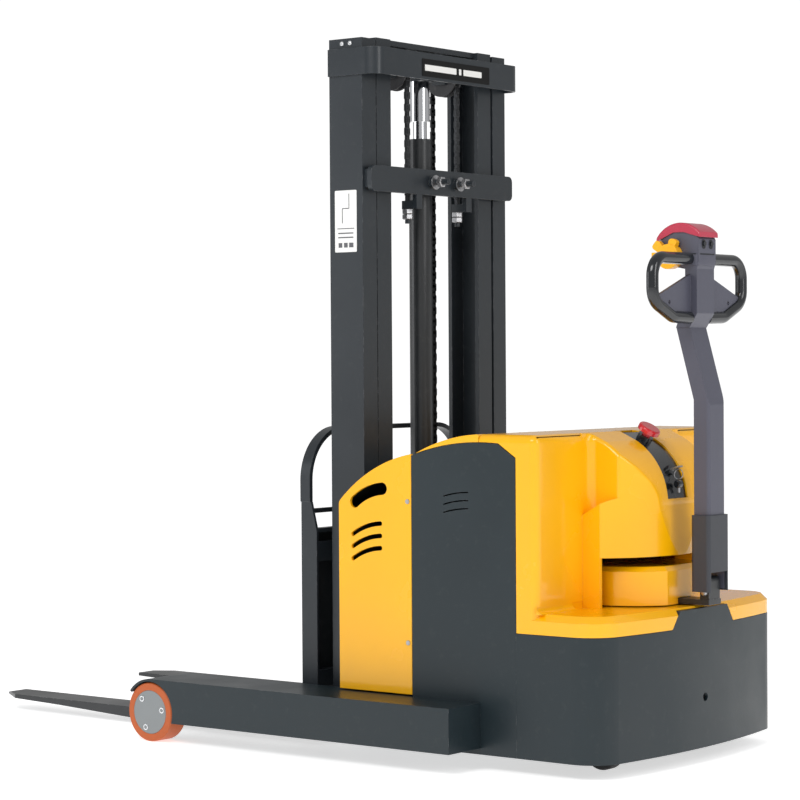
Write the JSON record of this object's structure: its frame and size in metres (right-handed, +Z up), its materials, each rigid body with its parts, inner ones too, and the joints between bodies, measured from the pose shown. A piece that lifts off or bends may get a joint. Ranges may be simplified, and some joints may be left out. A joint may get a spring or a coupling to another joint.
{
  "type": "walkie straddle stacker",
  "caption": "Pedestrian straddle stacker with a two-stage mast, forks, straddle legs, battery hood and a steering tiller.",
  "frame": {"origin": "on the floor under the middle of the bounding box", "axes": "+Z up, +Y towards the tiller, forks towards -Y, +X the truck's left side"},
  "size_m": [1.1074, 2.2232, 1.841],
  "materials": {
    "dark_paint": "satin",
    "yellow_paint": "gloss",
    "grey_plastic": "matte",
    "black_plastic": "gloss",
    "black_steel": "satin",
    "steel": "satin",
    "chrome": "polished",
    "zinc": "satin",
    "poly_tread": "matte",
    "black_tyre": "matte",
    "red_plastic": "gloss",
    "yellow_plastic": "gloss",
    "cast_iron": "matte"
  },
  "bodies": {
    "truck": {"chassis_frame": "dark_paint", "leg_left": "dark_paint", "leg_right": "dark_paint", "side_plate_left": "dark_paint", "side_plate_right": "dark_paint", "rear_skirt": "dark_paint", "mast_panel_left": "yellow_paint", "mast_panel_right": "yellow_paint", "panel_screws": "steel", "rear_hood": "yellow_paint", "switch_panel": "black_plastic", "battery": "black_plastic", "hydraulic_unit": "steel", "outer_channel_left": "dark_paint", "outer_channel_right": "dark_paint", "top_collar": "dark_paint", "crossbar": "dark_paint", "lift_cylinder": "black_steel"},
    "inner_mast": {"inner_channel_left": "dark_paint", "inner_channel_right": "dark_paint", "inner_top_beam": "dark_paint", "inner_bottom_beam": "dark_paint", "lift_rod": "chrome", "mast_rollers": "steel", "chain_left": "steel", "chain_right": "steel"},
    "sheave_left": {"sheave_left": "steel"},
    "sheave_right": {"sheave_right": "steel"},
    "carriage": {"carriage_frame": "dark_paint", "carriage_rollers": "steel", "fork_left": "black_steel", "fork_right": "black_steel", "backrest": "dark_paint"},
    "load_wheel_left": {"load_tyre_left": "poly_tread", "load_hub_left": "cast_iron", "load_cap_left": "zinc"},
    "load_wheel_right": {"load_tyre_right": "poly_tread", "load_hub_right": "cast_iron", "load_cap_right": "zinc"},
    "drive_head": {"drive_gearbox": "cast_iron", "drive_motor": "cast_iron", "drive_cover": "yellow_paint", "tiller_bracket": "black_steel"},
    "drive_wheel": {"drive_tyre": "black_tyre", "drive_hub": "cast_iron"},
    "tiller": {"tiller_sleeve": "grey_plastic", "tiller_arm": "grey_plastic", "head_housing": "grey_plastic", "handles": "black_plastic"},
    "butterfly": {"butterfly": "yellow_plastic"},
    "belly_pad": {"belly_pad": "red_plastic"},
    "button_lift": {"button_lift": "black_plastic"},
    "button_lower": {"button_lower": "black_plastic"},
    "estop": {"estop_knob": "red_plastic"},
    "key": {"key": "steel"},
    "battery_lid": {"battery_cover": "yellow_paint"},
    "castor_left": {"castor_fork_left": "black_steel"},
    "castor_right": {"castor_fork_right": "black_steel"},
    "castor_wheel_left": {"castor_wheel_left": "black_tyre"},
    "castor_wheel_right": {"castor_wheel_right": "black_tyre"}
  },
  "joints": [
    {"name": "mast_lift", "type": "slide", "parent": "truck", "child": "inner_mast", "axis": [0, 0, 1], "range_m": [0, 1.2]},
    {"name": "carriage_lift", "type": "slide", "parent": "inner_mast", "child": "carriage", "axis": [0, 0, 1], "range_m": [0, 1.2]},
    {"name": "sheave_spin_left", "type": "hinge", "parent": "inner_mast", "child": "sheave_left", "pos_m": [0, 0.1893, 1.766], "axis": [-1, 0, 0], "range_deg": [-5, 1662]},
    {"name": "sheave_spin_right", "type": "hinge", "parent": "inner_mast", "child": "sheave_right", "pos_m": [0, 0.1893, 1.766], "axis": [-1, 0, 0], "range_deg": [-5, 1662]},
    {"name": "load_wheel_spin_left", "type": "hinge", "parent": "truck", "child": "load_wheel_left", "pos_m": [0, -0.2986, 0.0777], "axis": [1, 0, 0], "continuous": true},
    {"name": "load_wheel_spin_right", "type": "hinge", "parent": "truck", "child": "load_wheel_right", "pos_m": [0, -0.2986, 0.0777], "axis": [1, 0, 0], "continuous": true},
    {"name": "steering", "type": "hinge", "parent": "truck", "child": "drive_head", "pos_m": [0, 0.8616, 0], "axis": [0, 0, 1], "range_deg": [-50, 50]},
    {"name": "drive_wheel_spin", "type": "hinge", "parent": "drive_head", "child": "drive_wheel", "pos_m": [0, 0.8616, 0.115], "axis": [1, 0, 0], "continuous": true},
    {"name": "tiller_tilt", "type": "hinge", "parent": "drive_head", "child": "tiller", "pos_m": [0, 1.0846, 0.452], "axis": [-1, 0, 0], "range_deg": [0, 80]},
    {"name": "butterfly_turn", "type": "hinge", "parent": "tiller", "child": "butterfly", "pos_m": [0, 1.0056, 1.256], "axis": [1, 0, 0], "range_deg": [-25, 25], "stiffness_Nm_per_rad": 0.6},
    {"name": "belly_pad_press", "type": "slide", "parent": "tiller", "child": "belly_pad", "axis": [0, 0, -1], "range_m": [0, 0.004], "stiffness_N_per_m": 800},
    {"name": "button_lift_press", "type": "slide", "parent": "tiller", "child": "button_lift", "axis": [0, -1, 0], "range_m": [0, 0.004], "stiffness_N_per_m": 300},
    {"name": "button_lower_press", "type": "slide", "parent": "tiller", "child": "button_lower", "axis": [0, -1, 0], "range_m": [0, 0.004], "stiffness_N_per_m": 300},
    {"name": "estop_press", "type": "slide", "parent": "truck", "child": "estop", "axis": [0, -0.5299, -0.848], "range_m": [0, 0.006]},
    {"name": "key_turn", "type": "hinge", "parent": "truck", "child": "key", "pos_m": [0, 0.9656, 0.722], "axis": [0, 0.9397, 0.342], "range_deg": [0, 90]},
    {"name": "battery_lid_tilt", "type": "hinge", "parent": "truck", "child": "battery_lid", "pos_m": [0, 0.6801, 0.817], "axis": [-1, 0, 0], "range_deg": [0, 70]},
    {"name": "castor_swivel_left", "type": "hinge", "parent": "truck", "child": "castor_left", "pos_m": [0.235, 0.8916, 0.0001], "axis": [0, 0, 1], "continuous": true},
    {"name": "castor_spin_left", "type": "hinge", "parent": "castor_left", "child": "castor_wheel_left", "pos_m": [0.235, 0.9256, 0.05], "axis": [1, 0, 0], "continuous": true},
    {"name": "castor_swivel_right", "type": "hinge", "parent": "truck", "child": "castor_right", "pos_m": [-0.235, 0.8916, 0.0001], "axis": [0, 0, 1], "continuous": true},
    {"name": "castor_spin_right", "type": "hinge", "parent": "castor_right", "child": "castor_wheel_right", "pos_m": [-0.235, 0.9256, 0.05], "axis": [1, 0, 0], "continuous": true}
  ],
  "couplings": [
    {"joint": "carriage_lift", "follows": "mast_lift", "ratio": 1},
    {"joint": "sheave_spin_left", "follows": "mast_lift", "rad_per_m": 24.096},
    {"joint": "sheave_spin_right", "follows": "mast_lift", "rad_per_m": 24.096}
  ]
}
